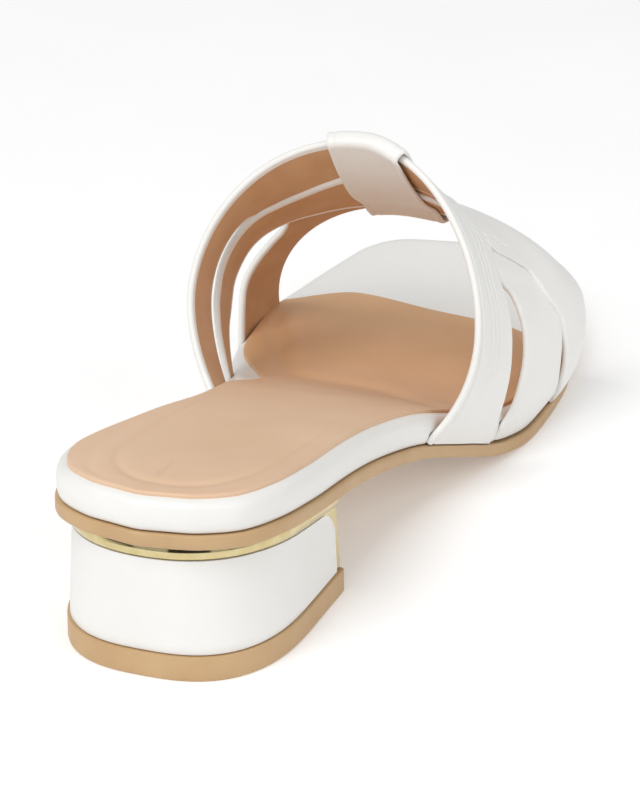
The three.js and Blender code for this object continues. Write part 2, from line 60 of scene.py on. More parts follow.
def heel_outline(share, inset=0.0):
    """Loop of points round the heel, from its foot (share 0) to the outsole (share 1)."""
    size = {}
    for name, low, high in zip(HEEL_SIZES, HEEL_FOOT, HEEL_TOP):
        size[name] = low + (high - low) * share
    half = size["width"] / 2
    swing = np.linspace(0.004, 1, 40) ** 1.2 * math.pi / 2
    x = half * np.sin(swing) ** (2 / size["power"])
    y = size["back"] + size["depth"] * (1 - np.cos(swing) ** (2 / size["power"]))
    side = np.linspace(size["back"] + size["depth"], size["front"] - size["corner"], 12)[1:-1]
    turn = np.linspace(0, math.pi / 2, 12)
    corner_x = half - size["corner"] * (1 - np.cos(turn))
    corner_y = size["front"] - size["corner"] * (1 - np.sin(turn))
    x = np.concatenate([x, np.full(side.size, half), corner_x])
    y = np.concatenate([y, side, corner_y]) - HEEL_CENTRE
    front = np.linspace(x[-1], -x[-1], 24)[1:-1]
    loop_x = np.concatenate([x, front, -x[::-1]])
    loop_y = np.concatenate([y, np.full(front.size, y[-1]), y[::-1]])
    return inset_loop(np.stack([loop_x, loop_y], axis=1), inset)


def inset_loop(loop, inset):
    """The loop moved inwards, square to itself."""
    run = np.roll(loop, -1, axis=0) - np.roll(loop, 1, axis=0)
    run /= np.maximum(np.linalg.norm(run, axis=1, keepdims=True), 1e-9)
    return loop + inset * np.stack([-run[:, 1], run[:, 0]], axis=1)


def drawn_in(loop, share, low, high, middle=lambda y: 0 * y):
    """The loop drawn in by share towards the line that runs from low to high along its middle."""
    spine_y = np.clip(loop[:, 1], low, high)
    spine = np.stack([middle(spine_y), spine_y], axis=1)
    return loop + (spine - loop) * share


def raised(loop, height):
    """The loop's points with their height, a number or a function of y."""
    z = height(loop[:, 1]) if callable(height) else np.full(len(loop), float(height))
    return np.column_stack([loop, z])


def rolled_grid(name, loops, closed=False):
    """A grid rolled into a tube through the loops, its seam and its drawn-in ends merged."""
    loops = np.asarray(loops)
    if closed:
        loops = np.concatenate([loops, loops[:1]])
    rings, count = loops.shape[:2]
    bpy.ops.object.select_all(action="DESELECT")
    bpy.ops.mesh.primitive_grid_add(x_subdivisions=count, y_subdivisions=rings - 1)
    piece = bpy.context.object
    piece.name = name
    rolled = np.concatenate([loops, loops[:, :1]], axis=1) * MM
    piece.data.vertices.foreach_set("co", rolled.ravel())
    bpy.ops.object.mode_set(mode="EDIT")
    bpy.ops.mesh.select_all(action="SELECT")
    bpy.ops.mesh.remove_doubles(threshold=2e-6)
    bpy.ops.mesh.select_all(action="DESELECT")
    bpy.ops.object.mode_set(mode="OBJECT")
    return piece


def finish_piece(piece, material, nodes, smooth_deg=40):
    """Smooth shading, material and its place in the frame."""
    bpy.ops.object.select_all(action="DESELECT")
    piece.select_set(True)
    bpy.context.view_layer.objects.active = piece
    bpy.ops.object.shade_smooth_by_angle(angle=math.radians(smooth_deg))
    piece.data.materials.append(material)
    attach(piece, "root")
    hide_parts(*nodes)


def linear(hex_colour):
    """sRGB hex text to a linear colour."""
    values = [int(hex_colour[i:i + 2], 16) / 255 for i in (1, 3, 5)]
    return [v / 12.92 if v <= 0.04045 else ((v + 0.055) / 1.055) ** 2.4 for v in values] + [1]


def add_node(tree, kind, links=None, **settings):
    """A node with its settings, and its inputs linked from other sockets or set to values."""
    made = tree.nodes.new(kind)
    for name, value in settings.items():
        setattr(made, name, value)
    for socket, value in (links or {}).items():
        if isinstance(value, bpy.types.NodeSocket):
            tree.links.new(value, made.inputs[socket])
        else:
            made.inputs[socket].default_value = value
    return made


def new_material(name):
    """An empty material: its tree, its shader and the object's own coordinates."""
    material = bpy.data.materials.new(name)
    material.use_nodes = True
    tree = material.node_tree
    shader = tree.nodes["Principled BSDF"]
    place = add_node(tree, "ShaderNodeTexCoord").outputs["Object"]
    return material, tree, shader, place


def per_mm(size_mm):
    """Texture scale for a pattern that repeats at a size in millimetres."""
    return 1 / (size_mm * MM)


def blotched(tree, place, light, dark, size_mm, low=0.35, high=0.65):
    """Colour that drifts between two hex values over a size."""
    drift = add_node(tree, "ShaderNodeTexNoise", {"Vector": place, "Scale": per_mm(size_mm), "Detail": 4})
    ramp = add_node(tree, "ShaderNodeValToRGB", {"Fac": drift.outputs["Fac"]})
    ramp.color_ramp.elements[0].position = low
    ramp.color_ramp.elements[0].color = linear(dark)
    ramp.color_ramp.elements[1].position = high
    ramp.color_ramp.elements[1].color = linear(light)
    return ramp.outputs["Color"]


# Moulded rubber: matt, with a fine pebble from the mould that scatters the light
sole_rubber, tree, shader, place = new_material("moulded tan rubber")
tree.links.new(blotched(tree, place, "#c6a57a", "#c09d72", 14), shader.inputs["Base Color"])
shader.inputs["Roughness"].default_value = 0.5
pebble = add_node(tree, "ShaderNodeTexNoise", {"Vector": place, "Scale": per_mm(0.9), "Detail": 3})
bump = add_node(
    tree, "ShaderNodeBump", {"Height": pebble.outputs["Fac"], "Strength": 0.22, "Distance": 0.0002}
)
tree.links.new(bump.outputs["Normal"], shader.inputs["Normal"])

lift_loops = []
for share, inset, height in (
    (1, 0, 0), (0.5, 0, 0), (0, 1.2, 0), (0, 0.35, 0.1), (0, 0.08, 0.35), (0, 0, LIFT_EDGE),
    (0, 0, LIFT_THICK / 2), (0, 0, LIFT_THICK - 0.3), (0, 0.1, LIFT_THICK - 0.08), (0, 0.4, LIFT_THICK),
    (0.5, 0, LIFT_THICK), (1, 0, LIFT_THICK),
):
    loop = drawn_in(heel_outline(0, inset), share, *HEEL_SPINE)
    lift_loops.append(raised(loop, height))
heel_lift = rolled_grid("heel_lift", lift_loops)
finish_piece(heel_lift, sole_rubber, ["top_lift"])


# Outsole
# A thin tan sole, cut to the footbed's outline and standing a little proud of it, with an edge
# that is trimmed square; its burnish is not drawn, the edge has the tread's rubber. It follows the arch and
# springs up at the toe.

LENGTH = 246  # footbed, back of the heel to the toe edge
HALF_BALL = 43
HEEL_RISE = 34.5
OUTSOLE_THICK = 3.6
STATIONS = 200


def table(columns, *rows):
    """A short table of sizes with named columns."""
    return dict(zip(columns.split(), np.array(rows, float).T))


# at is a share of LENGTH, inner and outer are shares of HALF_BALL. This outline, the profile
# under it and the heel's sizes started from a program's fit to the photograph's edges.
OUTLINE = table(
    "index at inner outer",
    (0, -0.002, 0.02, 0.03),
    (1, 0.002, 0.13, 0.14),
    (2, 0.012, 0.34, 0.34),
    (3, 0.04, 0.55, 0.54),
    (4, 0.09, 0.66, 0.65),
    (5, 0.155, 0.66, 0.68),
    (6, 0.245, 0.59, 0.68),
    (7, 0.345, 0.525, 0.69),
    (8, 0.445, 0.58, 0.76),
    (9, 0.545, 0.77, 0.89),
    (10, 0.627, 0.94, 0.98),
    (11, 0.695, 1.01, 0.99),
    (12, 0.77, 1.03, 0.96),
    (13, 0.84, 0.95, 0.88),
    (14, 0.905, 0.86, 0.74),
    (15, 0.955, 0.76, 0.57),
    (16, 0.985, 0.58, 0.34),
    (17, 0.996, 0.31, 0.09),
    (18, 1.0, 0.16, -0.1),
)
# Underside of the outsole seen from the side: rise is a share of HEEL_RISE
PROFILE = table(
    "at rise",
    (0, 1), (0.08, 0.95), (0.18, 0.835), (0.265, 0.73), (0.345, 0.6), (0.425, 0.45), (0.505, 0.24),
    (0.585, 0.045), (0.64, 0), (0.78, 0), (0.83, 0.02), (0.91, 0.055), (1, 0.12),
)


def through(rows, key, value, tight=True):
    """Smooth curve through two columns of a table. With tight it never overshoots a row."""
    x, y = rows[key], rows[value]
    slope = np.diff(y) / np.diff(x)
    before, after = slope[:-1], slope[1:]
    if tight:
        same_way = before * after > 0
        total = np.where(same_way, before + after, 1)
        inner = np.where(same_way, 2 * before * after / total, 0)
    else:
        inner = (before + after) / 2
    tangent = np.concatenate([slope[:1], inner, slope[-1:]])

    def curve(at):
        t = np.clip(at, x[0], x[-1])
        i = np.clip(np.searchsorted(x, t, side="left") - 1, 0, len(x) - 2)
        h = x[i + 1] - x[i]
        u = (t - x[i]) / h
        start = (1 + 2 * u) * (1 - u) ** 2 * y[i] + u * (1 - u) ** 2 * h * tangent[i]
        return start + u * u * (3 - 2 * u) * y[i + 1] + u * u * (u - 1) * h * tangent[i + 1]

    return curve


outline_at = through(OUTLINE, "index", "at", tight=False)
outline_inner = through(OUTLINE, "index", "inner", tight=False)
outline_outer = through(OUTLINE, "index", "outer", tight=False)
profile_rise = through(PROFILE, "at", "rise")
station = np.linspace(0, OUTLINE["index"][-1], STATIONS)
station_y = outline_at(station) * LENGTH - HEEL_CENTRE
station_outer = outline_outer(station) * HALF_BALL
station_inner = -outline_inner(station) * HALF_BALL
sole_loop = np.concatenate([
    np.stack([station_outer, station_y], axis=1),
    np.stack([station_inner, station_y], axis=1)[::-1],
])


def underside(y):
    return HEEL_RISE * profile_rise((y + HEEL_CENTRE) / LENGTH)


def outer_x(y):
    return np.interp(y, station_y, station_outer)


def inner_x(y):
    return np.interp(y, station_y, station_inner)


def middle_x(y):
    return (outer_x(y) + inner_x(y)) / 2


SPINE_LOW, SPINE_HIGH = -4, 184  # the line down the middle that the flat faces close on


def sole_ring(inset, rise, share=0.0):
    """Loop of the sole's outline at a rise above the underside, drawn in towards the middle line."""
    loop = drawn_in(inset_loop(sole_loop, inset), share, SPINE_LOW, SPINE_HIGH, middle_x)
    return raised(loop, lambda y: underside(y) + rise)


# The same rubber as the lift, with its edge rounded a little above and below
outsole_rings = [sole_ring(1.5, 0, share) for share in (1, 0.9, 0.75, 0.5, 0.25, 0.1, 0)]
outsole_rings += [
    sole_ring(0.5, 0.08), sole_ring(0.15, 0.3), sole_ring(0, 0.7), sole_ring(0, 1.8), sole_ring(0, 2.9),
    sole_ring(0.12, 3.35), sole_ring(0.4, 3.56), sole_ring(0.9, OUTSOLE_THICK),
]
outsole_rings += [sole_ring(1.5, OUTSOLE_THICK, share) for share in (0.03, 0.1, 0.25, 0.5, 0.75, 0.9, 1)]
outsole = rolled_grid("outsole_edge_and_tread", outsole_rings)
finish_piece(outsole, sole_rubber, ["outsole"])


# Heel block
# A moulded heel wrapped in one piece of smooth white leather that turns round the back and
# the sides, flares a little towards the floor and ends at the metal plate in front.

GAP = 0.3  # between neighbouring pieces
TRIM_BAND = 3.2  # height of the metal band
COVER_INSET = 0.6
PANEL_CORNER = 7  # radius of the leather's upper front corner
PANEL_SET_BACK = 3.8  # metal left showing at the front of each side

# Smooth calf leather, finished white: low soft gloss, fine grain and faint warm drift in tone
white_leather, tree, shader, place = new_material("white finished calf leather")
tree.links.new(blotched(tree, place, "#eeedea", "#ebeae6", 20), shader.inputs["Base Color"])
shader.inputs["Roughness"].default_value = 0.38
grain = add_node(tree, "ShaderNodeTexVoronoi", {"Vector": place, "Scale": per_mm(0.8)})
pores = add_node(tree, "ShaderNodeTexNoise", {"Vector": place, "Scale": per_mm(3), "Detail": 5})
height = add_node(
    tree, "ShaderNodeMath", {0: grain.outputs["Distance"], 1: pores.outputs["Fac"]}, operation="ADD"
)
bump = add_node(
    tree, "ShaderNodeBump", {"Height": height.outputs[0], "Strength": 0.12, "Distance": 0.0002}
)
tree.links.new(bump.outputs["Normal"], shader.inputs["Normal"])

cover_foot = LIFT_THICK + GAP
cover_drop = GAP + TRIM_BAND + GAP
cover_front = HEEL_FRONT - HEEL_CENTRE - PANEL_SET_BACK
cover_top = underside(cover_front) - cover_drop
corner_z = cover_top - PANEL_CORNER


def panel_ring(share, inset=0.0, drawn=0.0):
    """Loop of the leather cover, cut square at the front, its upper front corners rounded."""
    rise = max(0, cover_foot + (cover_top - cover_foot) * share - corner_z)
    limit = cover_front - PANEL_CORNER + math.sqrt(max(0, PANEL_CORNER ** 2 - rise ** 2))
    loop = drawn_in(heel_outline(share, COVER_INSET + inset), drawn, *HEEL_SPINE)
    beyond = np.flatnonzero(loop[:, 1] > limit)
    squared = np.minimum(loop, (100, limit))
    ends = ((beyond[0], beyond[0] - 1), (beyond[-1], beyond[-1] + 1)) if beyond.size else ()
    for at, before in ends:
        part = (limit - loop[before, 1]) / (loop[at, 1] - loop[before, 1])
        squared[at, 0] = loop[before, 0] + part * (loop[at, 0] - loop[before, 0])
    return raised(squared, lambda y: cover_foot + (underside(y) - cover_drop - cover_foot) * share)


low_share = (corner_z - cover_foot) / (cover_top - cover_foot)
turn = np.linspace(0, math.pi / 2, 20)[1:-1]
corner_shares = (corner_z + PANEL_CORNER * np.sin(turn) - cover_foot) / (cover_top - cover_foot)
cover_rings = [panel_ring(0, drawn=drawn) for drawn in (1, 0.5, 0.1)]
cover_rings += [panel_ring(0, 0.25), panel_ring(0.015)]
cover_rings += [panel_ring(share) for share in np.linspace(0.1, low_share, 7)]
cover_rings += [panel_ring(share) for share in corner_shares]
cover_rings += [panel_ring(1, 0.25)]
cover_rings += [panel_ring(1, drawn=drawn) for drawn in (0.1, 0.5, 1)]
cover = rolled_grid("heel_cover", cover_rings)
finish_piece(cover, white_leather, ["heel_block"], smooth_deg=40)


# Heel trim
# Polished brass-coloured metal: a flat band between the leather and the outsole, and a plate
# on the front of the heel. It mirrors the studio, so it shows hard bright and dark stretches.

# Polished brass plate: a mirror with a little haze, straw yellow where it faces the light
polished_brass, tree, shader, place = new_material("polished brass plate")
tree.links.new(blotched(tree, place, "#d8c99c", "#cdbc88", 5), shader.inputs["Base Color"])
shader.inputs["Metallic"].default_value = 1
haze = add_node(tree, "ShaderNodeTexNoise", {"Vector": place, "Scale": per_mm(2), "Detail": 3})
gloss = add_node(
    tree, "ShaderNodeMapRange", {"Value": haze.outputs["Fac"], "To Min": 0.06, "To Max": 0.16}
)
tree.links.new(gloss.outputs["Result"], shader.inputs["Roughness"])

TRIM_INSET = 0.3
band_foot = lambda y: underside(y) - GAP - TRIM_BAND
band_head = lambda y: underside(y) - GAP
trim_rings = []
for drawn, inset, edge, offset in (
    (1, 0, band_foot, 0), (0.5, 0, band_foot, 0), (0, 0.9, band_foot, 0), (0, 0.3, band_foot, 0.06),
    (0, 0.08, band_foot, 0.3), (0, 0, band_foot, 0.7), (0, -0.17, band_foot, 1.15),
    (0, -0.25, band_foot, TRIM_BAND / 2), (0, -0.17, band_head, -1.15), (0, 0, band_head, -0.7),
    (0, 0.08, band_head, -0.3), (0, 0.3, band_head, -0.06), (0, 0.9, band_head, 0),
    (0.5, 0, band_head, 0), (1, 0, band_head, 0),
):
    loop = drawn_in(heel_outline(1, TRIM_INSET + inset), drawn, *HEEL_SPINE)
    trim_rings.append(raised(loop, lambda y: edge(y) + offset))
band = rolled_grid("heel_trim_band", trim_rings)
finish_piece(band, polished_brass, ["heel_trim"], smooth_deg=50)


# The plate runs under the leather as far as the rounded corners need it
PLATE_INSET = COVER_INSET + 0.3
PLATE_DROP = GAP + TRIM_BAND / 3
PLATE_REAR = cover_front - PANEL_CORNER - 1


def plate_ring(share, drawn=0.0):
    """Loop of the heel's core between the lift and the middle of the metal band."""
    loop = drawn_in(heel_outline(share, PLATE_INSET), drawn, *HEEL_SPINE)
    return raised(loop, lambda y: cover_foot + (underside(y) - PLATE_DROP - cover_foot) * share)


plate_rings = [plate_ring(0, drawn) for drawn in (1, 0.5, 0)]
plate_rings += [plate_ring(share) for share in np.linspace(0.05, 1, 16)]
plate_rings += [plate_ring(1, drawn) for drawn in (0.5, 1)]
plate = rolled_grid("heel_trim_plate", plate_rings)
bpy.ops.object.mode_set(mode="EDIT")
bpy.ops.mesh.select_all(action="SELECT")
bpy.ops.mesh.bisect(
    plane_co=(0, PLATE_REAR * MM, 0), plane_no=(0, 1, 0), use_fill=True,
    clear_outer=False, clear_inner=True,
)
bpy.ops.mesh.select_all(action="DESELECT")
bpy.ops.object.mode_set(mode="OBJECT")
bevel = plate.modifiers.new("polished edge", "BEVEL")
bevel.width = 0.35 * MM
bevel.segments = 3
bevel.limit_method = "ANGLE"
bevel.angle_limit = math.radians(50)
bpy.ops.object.modifier_apply(modifier=bevel.name)
finish_piece(plate, polished_brass, ["heel_trim"], smooth_deg=50)


# Strap upper
# Three bands of lined white leather on each side, lasted over the foot. The rear and the front
# band lie over the middle one and join it on the instep, where a band is folded round all three.
# Each band's edges are turned and rolled; its inside is tan lining leather.

INSTEP_RISE = 83
INSTEP_X = 4
STRAP_WALL = 1.8
MIDDLE_WALL = 1.6
MIDDLE_DEPTH = 1.0
WIDEST = 0.62
STRAP_EDGE = 0.85  # radius of a rolled edge

# Sections of the last over the instep. along runs from the straps' rear edge (0) to their front
# edge (1). Feet and top are shares of LENGTH, widths of HALF_BALL and rises of INSTEP_RISE.
# The numbers were fitted by a program to edges marked on the photograph, then rounded.
SECTIONS = table(
    "along inner_foot outer_foot top_at top_rise inner_wide inner_rise outer_wide outer_rise"
    " inner_curl outer_curl inner_round outer_round tuck",
    (0, 0.411, 0.434, 0.567, 1.01, 0.847, 0.584, 0.95, 0.487, 1.85, 2.17, 2.03, 1.74, 1.8),
    (0.25, 0.491, 0.508, 0.596, 0.9, 0.882, 0.508, 1.015, 0.43, 1.7, 2.2, 1.94, 1.9, 1.1),
    (0.5, 0.586, 0.6, 0.63, 0.8, 0.919, 0.41, 1.105, 0.377, 1.84, 2.3, 1.85, 2.09, 0.5),
    (0.75, 0.69, 0.705, 0.665, 0.733, 0.988, 0.277, 1.184, 0.346, 2, 2.4, 1.82, 2.23, 0),
    (1, 0.796, 0.812, 0.689, 0.673, 0.99, 0.1, 1.096, 0.367, 2, 2.25, 1.87, 1.93, 0),
)
section_curves = {name: through(SECTIONS, "along", name) for name in SECTIONS if name != "along"}


def last_inside(along, around):
    """Points of the last's surface for along within 0 to 1 and around -1 to 1."""
    size = {name: curve(along) for name, curve in section_curves.items()}
    outer = around > 0
    foot_y = np.where(outer, size["outer_foot"], size["inner_foot"]) * LENGTH - HEEL_CENTRE
    foot_x = np.where(outer, outer_x(foot_y), inner_x(foot_y) + size["tuck"])
    foot_z = underside(foot_y) + OUTSOLE_THICK + GAP
    wide_x = np.where(outer, size["outer_wide"], -size["inner_wide"]) * HALF_BALL
    wide_z = np.where(outer, size["outer_rise"], size["inner_rise"]) * INSTEP_RISE
    fullness = 2 / np.where(outer, size["outer_round"], size["inner_round"])
    curl = np.where(outer, size["outer_curl"], size["inner_curl"])
    top_y = size["top_at"] * LENGTH - HEEL_CENTRE
    top_z = size["top_rise"] * INSTEP_RISE
    away = np.abs(around)
    swing = np.minimum(away / WIDEST, 1) * math.pi / 2
    down = np.maximum(away - WIDEST, 0) / (1 - WIDEST)
    x_high = INSTEP_X + (wide_x - INSTEP_X) * np.sin(swing) ** fullness
    z_high = wide_z + (top_z - wide_z) * np.maximum(np.cos(swing), 0) ** fullness
    x = np.where(away <= WIDEST, x_high, wide_x + (foot_x - wide_x) * down ** curl)
    z = np.where(away <= WIDEST, z_high, wide_z + (foot_z - wide_z) * down)
    y = foot_y + (top_y - foot_y) * (z - foot_z) / (top_z - foot_z)
    return np.stack([x, y, z], axis=-1)


def last_point(along, around):
    """The same, run on straight past the edges at 0 and 1."""
    step = 0.02
    within = np.clip(along, 0, 1)
    edge = last_inside(within, around)
    inside = last_inside(np.where(within < 0.5, within + step, within - step), around)
    past = (np.abs(along - within) / step)[..., None]
    return edge + (edge - inside) * past


def last_normal(along, around):
    step = 0.01
    down_foot = last_point(along + step, around) - last_point(along - step, around)
    round_foot = last_point(along, around + step) - last_point(along, around - step)
    normal = np.cross(round_foot, down_foot)
    return normal / np.linalg.norm(normal, axis=-1, keepdims=True)


def wall_point(along, around, depth):
    return last_point(along, around) - last_normal(along, around) * np.asarray(depth)[..., None]


def along_scale(along, around):
    """Millimetres on the last for a step of one in along."""
    step = 0.01
    run = last_point(along + step, around) - last_point(along - step, around)
    return np.linalg.norm(run, axis=-1) / (2 * step)


# Edges of the straps: around is 0 on the instep's ridge, -1 at the inner foot and 1 at the outer
# foot, and each edge is given by its along. Between the open stretches the two outer bands join.
# These rows too were fitted to edges marked on the photograph, and some were then moved.
BAND_EDGES = table(
    "around rear_front front_rear",
    (-1.1, 0.25, 0.7),
    (-1, 0.25, 0.7),
    (-0.87, 0.25, 0.705),
    (-0.8, 0.254, 0.708),
    (-0.73, 0.26, 0.712),
    (-0.67, 0.27, 0.718),
    (-0.6, 0.286, 0.73),
    (-0.52, 0.292, 0.75),
    (-0.457, 0.296, 0.772),
    (-0.4, 0.315, 0.785),
    (-0.36, 0.37, 0.785),
    (-0.33, 0.44, 0.755),
    (-0.305, 0.51, 0.68),
    (-0.29, 0.565, 0.61),
    (-0.27, 0.585, 0.585),
    (0.34, 0.3, 0.3),
    (0.355, 0.29, 0.3),
    (0.37, 0.28, 0.32),
    (0.385, 0.272, 0.395),
    (0.4, 0.265, 0.455),
    (0.42, 0.255, 0.505),
    (0.45, 0.248, 0.526),
    (0.5, 0.262, 0.555),
    (0.59, 0.28, 0.628),
    (0.7, 0.3, 0.657),
    (0.85, 0.325, 0.68),
    (1, 0.375, 0.745),
    (1.1, 0.4, 0.78),
)
MIDDLE_EDGES = table(
    "around rear front",
    (-1.1, 0.3, 0.43),
    (-1, 0.3, 0.43),
    (-0.87, 0.31, 0.432),
    (-0.78, 0.3, 0.447),
    (-0.7, 0.302, 0.487),
    (-0.61, 0.318, 0.518),
    (-0.52, 0.318, 0.548),
    (-0.45, 0.317, 0.558),
    (-0.4, 0.322, 0.58),
    (-0.35, 0.34, 0.63),
    (-0.3, 0.37, 0.7),
    (-0.23, 0.385, 0.8),
    (-0.15, 0.36, 0.87),
    (-0.11, 0.34, 0.9),
    (0, 0.4, 0.92),
    (0.15, 0.445, 0.91),
    (0.25, 0.46, 0.88),
    (0.3, 0.4, 0.86),
    (0.33, 0.31, 0.84),
    (0.4, 0.245, 0.72),
    (0.44, 0.26, 0.64),
    (0.48, 0.335, 0.62),
    (0.53, 0.366, 0.625),
    (0.6, 0.395, 0.645),
    (0.68, 0.41, 0.645),
    (0.78, 0.415, 0.655),
    (0.87, 0.42, 0.685),
    (1, 0.405, 0.76),
    (1.1, 0.4, 0.79),
)
EDGE_STEPS = 4
# About how many millimetres a step of one in along, and in around, is on the last
MM_ALONG_RIDGE, MM_ALONG_SIDE, MM_ALONG_FOOT = 45, 90, 98
MM_AROUND = 95


def no_relief(along, around, share):
    return np.zeros_like(along)


def band_loops(arounds, rear, front, outside, inside, rear_edge, front_edge,
               face_steps, margins=(2.0, 2.0), relief=no_relief):
    """Sections of a strap, each a closed loop: outer face, front edge, lining and rear edge.
    Returns the loops and whether each face shows the lining, as the deep slits do too."""
    arounds = np.asarray(arounds, float)[:, None]
    start, end = rear(arounds), front(arounds)
    start_mm = along_scale(start, arounds)
    end_mm = along_scale(end, arounds)
    rear_round, front_round = rear_edge(arounds), front_edge(arounds)
    turn = np.linspace(0, math.pi / 2, EDGE_STEPS + 1)[None, :]
    face_start = start + rear_round / start_mm
    face_end = end - front_round / end_mm
    share = np.linspace(0, 1, face_steps + 1)[None, :]
    face = face_start + (face_end - face_start) * share
    face_depth = outside + relief(face, arounds + 0 * face, share + 0 * face)
    front_in = end - front_round / end_mm * (1 - np.sin(turn))
    front_drop = front_round * (1 - np.cos(turn))
    rear_in = start + rear_round / start_mm * (1 - np.sin(turn))
    rear_drop = rear_round * (1 - np.cos(turn))
    lining_start = face_start + margins[0] / start_mm
    lining_end = face_end - margins[1] / end_mm
    lining_share = np.linspace(0, 1, 9)[None, :]
    lining = lining_end + (lining_start - lining_end) * lining_share
    back = np.concatenate([face_end, lining, face_start], axis=1)
    along = np.concatenate(
        [face, front_in[:, 1:], front_in[:, ::-1][:, :-1], back, rear_in[:, 1:], rear_in[:, ::-1][:, 1:-1]],
        axis=1,
    )
    depth = np.concatenate(
        [face_depth, outside + front_drop[:, 1:], inside - front_drop[:, ::-1][:, :-1],
         inside + 0 * back, inside - rear_drop[:, 1:], outside + rear_drop[:, ::-1][:, 1:-1]],
        axis=1,
    )
    loops = wall_point(along, arounds + 0 * along, depth)
    first_lining = face_steps + 2 * EDGE_STEPS + 2
    is_lining = np.zeros(along.shape, bool)
    is_lining[:, first_lining:first_lining + 8] = True
    carved = face_depth - outside
    is_lining[:, :face_steps] = carved[:, 1:] + carved[:, :-1] > 1.5
    return loops, is_lining


def strap(name, loops, is_lining, materials):
    """A closed strap from its sections, from the outer foot over the instep to the inner foot."""
    loops = loops[::-1]
    is_lining = is_lining[::-1]
    rings, count = loops.shape[:2]
    bpy.ops.object.select_all(action="DESELECT")
    bpy.ops.mesh.primitive_grid_add(x_subdivisions=count, y_subdivisions=rings - 1)
    piece = bpy.context.object
    piece.name = name
    rolled = np.concatenate([loops, loops[:, :1]], axis=1) * MM
    piece.data.vertices.foreach_set("co", rolled.ravel())
    zones = is_lining[:-1].astype(int).ravel()
    for each in materials:
        piece.data.materials.append(each)
    piece.data.polygons.foreach_set("material_index", zones)
    bpy.ops.object.mode_set(mode="EDIT")
    bpy.ops.mesh.select_all(action="SELECT")
    bpy.ops.mesh.remove_doubles(threshold=2e-6)
    bpy.ops.mesh.select_all(action="DESELECT")
    bpy.ops.mesh.select_non_manifold()
    bpy.ops.mesh.fill_holes(sides=0)
    bpy.ops.mesh.select_all(action="DESELECT")
    bpy.ops.object.mode_set(mode="OBJECT")
    bpy.ops.object.shade_smooth_by_angle(angle=math.radians(50))
    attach(piece, "root")
    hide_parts("upper")
    return piece


# Vegetable-tanned lining calf: tan, matt, with a fine drift from the tanning
lining_leather, tree, shader, place = new_material("tan lining leather")
tree.links.new(blotched(tree, place, "#d0a47a", "#c99a70", 9), shader.inputs["Base Color"])
shader.inputs["Roughness"].default_value = 0.6
fibre = add_node(tree, "ShaderNodeTexNoise", {"Vector": place, "Scale": per_mm(0.7), "Detail": 4})
bump = add_node(
    tree, "ShaderNodeBump", {"Height": fibre.outputs["Fac"], "Strength": 0.15, "Distance": 0.0002}
)
tree.links.new(bump.outputs["Normal"], shader.inputs["Normal"])

rear_front = through(BAND_EDGES, "around", "rear_front")
front_rear = through(BAND_EDGES, "around", "front_rear")
middle_rear = through(MIDDLE_EDGES, "around", "rear")
middle_front = through(MIDDLE_EDGES, "around", "front")


def smooth_step(low, high, value):
    t = np.clip((value - low) / (high - low), 0, 1)
    return t * t * (3 - 2 * t)


def open_edge(arounds):
    """Radius of the edge between the rear and the front band: square where they join."""
    apart = (front_rear(arounds) - rear_front(arounds)) * MM_ALONG_RIDGE
    return 0.02 + (STRAP_EDGE - 0.02) * smooth_step(0, 2.5, apart)


def rolled_edge(arounds):
    return np.full_like(arounds, STRAP_EDGE)


def groove(distance, width, depth):
    return depth * np.exp(-(distance / width) ** 2)


REAR_PLEATS = (0.33, 0.5, 0.68)  # shares of the band's width
GATHERS = (0.322, 0.337, 0.352, 0.366)  # around of the small gathers beside the outer slits
BAND_WIDTH = 24


def gathers(along, around):
    """Short fine gathers where the bands meet, on both sides of the instep."""
    depth = 0 * along
    for number, at in enumerate(GATHERS):
        start = 0.245 + 0.012 * (number % 2)
        span = smooth_step(start, start + 0.03, along) * (1 - smooth_step(0.31, 0.35, along))
        depth = depth + groove((around - at - 0.25 * (along - 0.3)) * MM_AROUND, 0.3, 0.16) * span
        inner_at = -at + 0.03
        inner_span = smooth_step(0.42, 0.46, along) * (1 - smooth_step(0.52, 0.56, along))
        depth = depth + groove((around - inner_at) * MM_AROUND, 0.3, 0.16) * inner_span
    return depth


def rear_relief(along, around, share):
    """Soft pleats that run down the rear band, and the seam behind its rolled edge."""
    away = np.abs(around)
    fade = smooth_step(0.14, 0.28, away) * (1 - smooth_step(0.66, 0.92, away))
    depth = groove(share * BAND_WIDTH - 1.5, 0.45, 0.3)
    for number, at in enumerate(REAR_PLEATS):
        drift = at + 0.05 * np.sin(3 * around + number)
        depth = depth + groove((share - drift) * BAND_WIDTH, 0.5, 0.2) * fade
    return depth + gathers(along, around)


def front_relief(along, around, share):
    """The front band's seam behind its rolled edge, and the pinched slit on the outer side."""
    depth = groove((1 - share) * BAND_WIDTH - 2, 0.45, 0.16)
    span = smooth_step(0.335, 0.355, along) * (1 - smooth_step(0.42, 0.45, along))
    pinch = groove((around - 0.313 - 0.36 * (along - 0.352)) * MM_AROUND, 0.34, 1.3) * span
    return depth + pinch + gathers(along, around)


def middle_depth(arounds):
    """Depth of the middle band's face: nearly flush with the rear band where the slits begin."""
    outer = smooth_step(0.33, 0.38, arounds) * (1 - smooth_step(0.41, 0.47, arounds))
    inner = smooth_step(0.28, 0.32, -arounds) * (1 - smooth_step(0.37, 0.44, -arounds))
    return MIDDLE_DEPTH - (MIDDLE_DEPTH - 0.12) * (outer + inner)


def middle_relief(along, around, share):
    """The dark crease where the front band's edge first lifts from the middle band."""
    line = front_rear(around) - along
    outer = smooth_step(0.355, 0.37, around) * (1 - smooth_step(0.405, 0.43, around))
    inner = smooth_step(0.29, 0.305, -around) * (1 - smooth_step(0.36, 0.4, -around))
    return groove(line * MM_ALONG_SIDE - 0.3, 0.55, 1.5) * (outer + inner)


